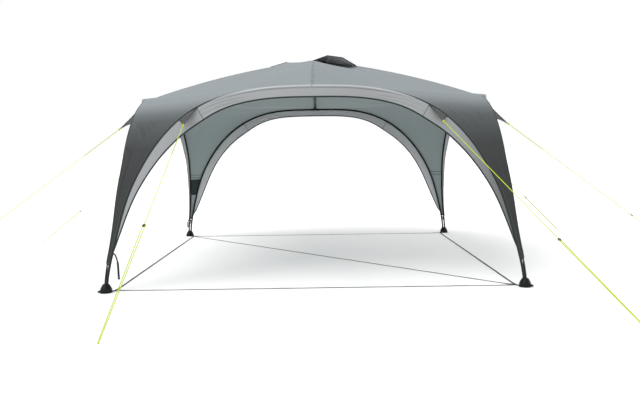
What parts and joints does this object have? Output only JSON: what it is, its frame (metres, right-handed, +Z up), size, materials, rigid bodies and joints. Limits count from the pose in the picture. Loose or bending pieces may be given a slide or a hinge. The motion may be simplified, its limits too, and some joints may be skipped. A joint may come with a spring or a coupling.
{
  "type": "camping shelter",
  "caption": "Square dome camping shelter: crossed arch-pole frame under a cloth canopy open on all four sides, with visors, vents, taut guy lines and base straps.",
  "frame": {"origin": "on the ground, midway between the four feet", "axes": "+Z up, +X to the right and +Y to the rear, seen from the front archway"},
  "size_m": [7.0057, 5.0316, 2.1337],
  "materials": {
    "roof_cloth": "coated polyester, blue grey",
    "corner_cloth": "coated polyester, charcoal shading to grey at the top",
    "visor_cloth": "coated polyester, light grey",
    "hood_cloth": "coated polyester, charcoal",
    "vent_mesh": "woven insect mesh, black",
    "webbing": "woven webbing, dark grey",
    "guy_cord": "braided cord, lime",
    "painted_pole": "black powder coat",
    "moulded_plastic": "black moulded plastic"
  },
  "bodies": {
    "root": {"foot_front_right": "moulded_plastic", "foot_rear_right": "moulded_plastic", "foot_rear_left": "moulded_plastic", "foot_front_left": "moulded_plastic", "arch_pole_front_right": "painted_pole", "arch_pole_right_rear": "painted_pole", "arch_pole_rear_left": "painted_pole", "arch_pole_left_front": "painted_pole", "arch_pole_front_left": "painted_pole", "arch_pole_right_front": "painted_pole", "arch_pole_rear_right": "painted_pole", "arch_pole_left_rear": "painted_pole", "ridge_pole_front": "painted_pole", "ridge_pole_right": "painted_pole", "ridge_pole_rear": "painted_pole", "ridge_pole_left": "painted_pole", "apex_hub_front": "moulded_plastic", "apex_hub_right": "moulded_plastic", "apex_hub_rear": "moulded_plastic", "apex_hub_left": "moulded_plastic", "centre_hub": "moulded_plastic", "corner_panel_front_right": "corner_cloth", "corner_panel_rear_right": "corner_cloth", "corner_panel_rear_left": "corner_cloth", "corner_panel_front_left": "corner_cloth", "roof_panel_front_right": "roof_cloth", "roof_panel_rear_right": "roof_cloth", "roof_panel_rear_left": "roof_cloth", "roof_panel_front_left": "roof_cloth", "visor_front": "visor_cloth", "visor_right": "visor_cloth", "visor_rear": "visor_cloth", "visor_left": "visor_cloth", "guy_line_front_left": "guy_cord", "guy_line_front_right": "guy_cord", "guy_line_right_front": "guy_cord", "guy_line_right_rear": "guy_cord", "guy_line_left_rear": "guy_cord", "guy_line_left_front": "guy_cord", "base_strap_front": "webbing", "base_strap_right": "webbing", "base_strap_rear": "webbing", "base_strap_left": "webbing", "base_strap_diagonal": "webbing", "vent_mesh_front_right": "vent_mesh", "vent_hood_front_right": "hood_cloth", "vent_mesh_rear_left": "vent_mesh", "vent_hood_rear_left": "hood_cloth", "corner_pocket": "webbing", "leg_tie_front_left": "webbing", "leg_tie_rear_left": "webbing"}
  },
  "joints": []
}
